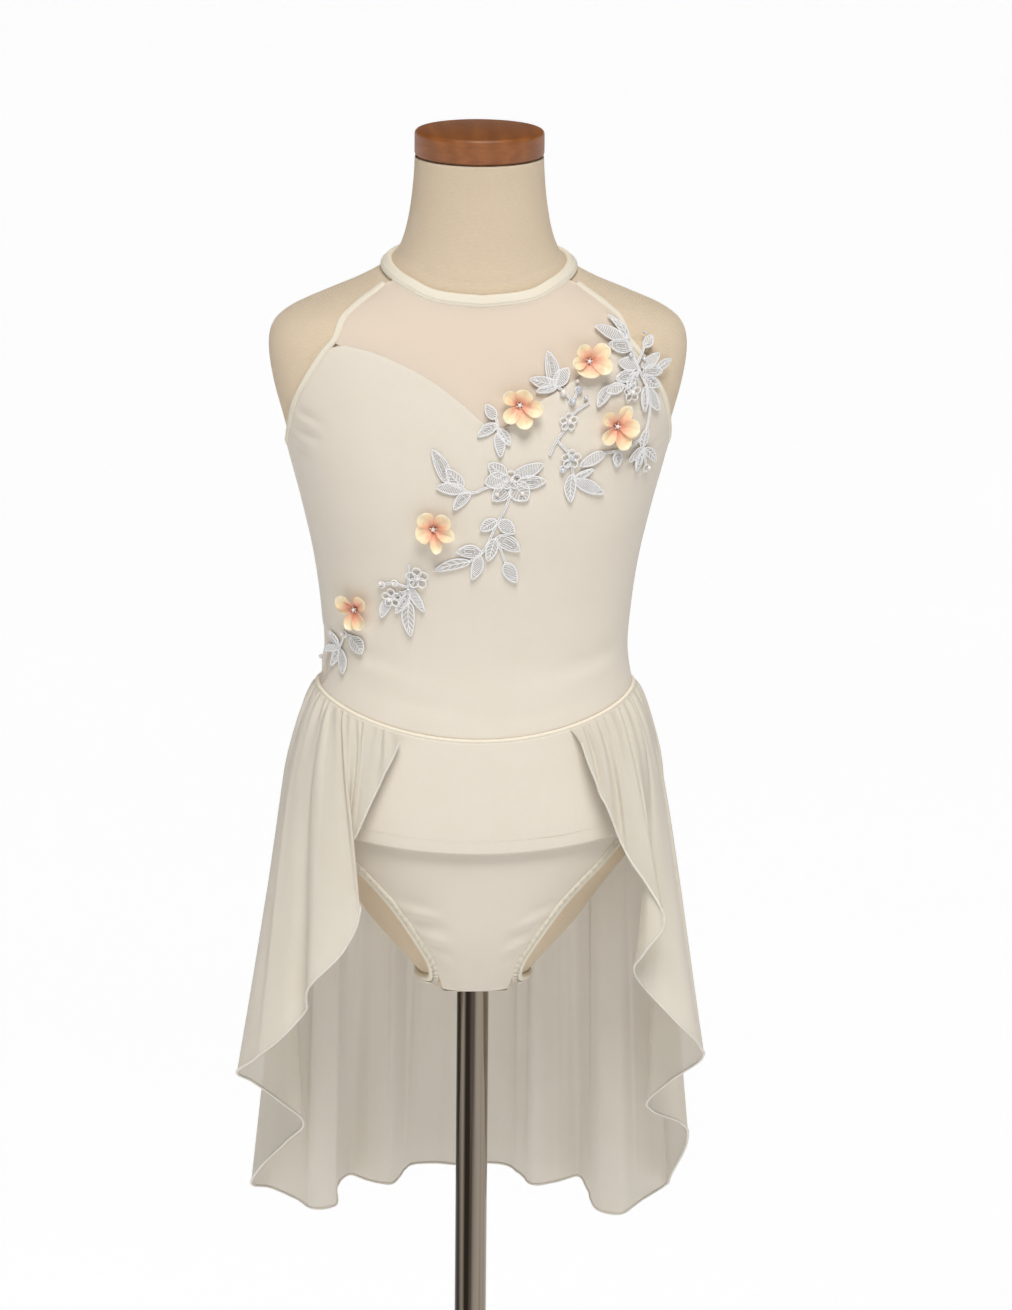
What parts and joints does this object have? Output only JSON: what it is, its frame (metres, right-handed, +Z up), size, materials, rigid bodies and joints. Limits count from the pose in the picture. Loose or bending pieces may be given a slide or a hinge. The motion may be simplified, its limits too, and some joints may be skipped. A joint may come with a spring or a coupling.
{
  "type": "lyrical dance costume on a dress form",
  "caption": "Halter dance leotard with a sheer yoke, a gathered high-low skirt and a spray of cloth flowers and lace, on a limbless child's form with a pole and a round base.",
  "frame": {"origin": "on the floor, at the centre of the base plate's underside, under the pole's axis", "axes": "+Z up along the pole, -Y is the way the costume's front faces, +X is the costume's own left side"},
  "size_m": [0.3361, 0.3046, 1.2683],
  "materials": {
    "form_linen": "unbleached linen glued over a padded torso, matt plain weave",
    "cap_walnut": "turned cap, brown stain under satin lacquer",
    "pole_chrome": "plated steel tube",
    "base_steel": "plated steel plate with a turned edge",
    "spandex": "matt ivory nylon and spandex jersey",
    "sheer_mesh": "skin-tone power mesh, sheer",
    "chiffon": "pale chiffon, slightly sheer, rolled hem",
    "corded_lace": "silver-white corded lace leaves with beads",
    "petal_cloth": "peach and cream cut satin petals"
  },
  "bodies": {
    "root": {"form_torso": "form_linen", "neck_cap": "cap_walnut", "pole": "pole_chrome", "base_plate": "base_steel", "bodice_front": "spandex", "bodice_back": "spandex", "brief_front": "spandex", "brief_back": "spandex", "gusset": "spandex", "hip_panel": "spandex", "neck_band": "spandex", "armhole_binding": "spandex", "waist_piping": "spandex", "leg_binding_left": "spandex", "leg_binding_right": "spandex", "yoke_mesh": "sheer_mesh", "waist_mesh_inset": "sheer_mesh", "skirt": "chiffon", "lace_shoulder": "corded_lace", "lace_neckline": "corded_lace", "lace_collar": "corded_lace", "lace_stem": "corded_lace", "lace_centre": "corded_lace", "lace_hip": "corded_lace", "lace_waist": "corded_lace", "flower_1": "petal_cloth", "flower_2": "petal_cloth", "flower_3": "petal_cloth", "flower_4": "petal_cloth", "flower_5": "petal_cloth"}
  },
  "joints": []
}
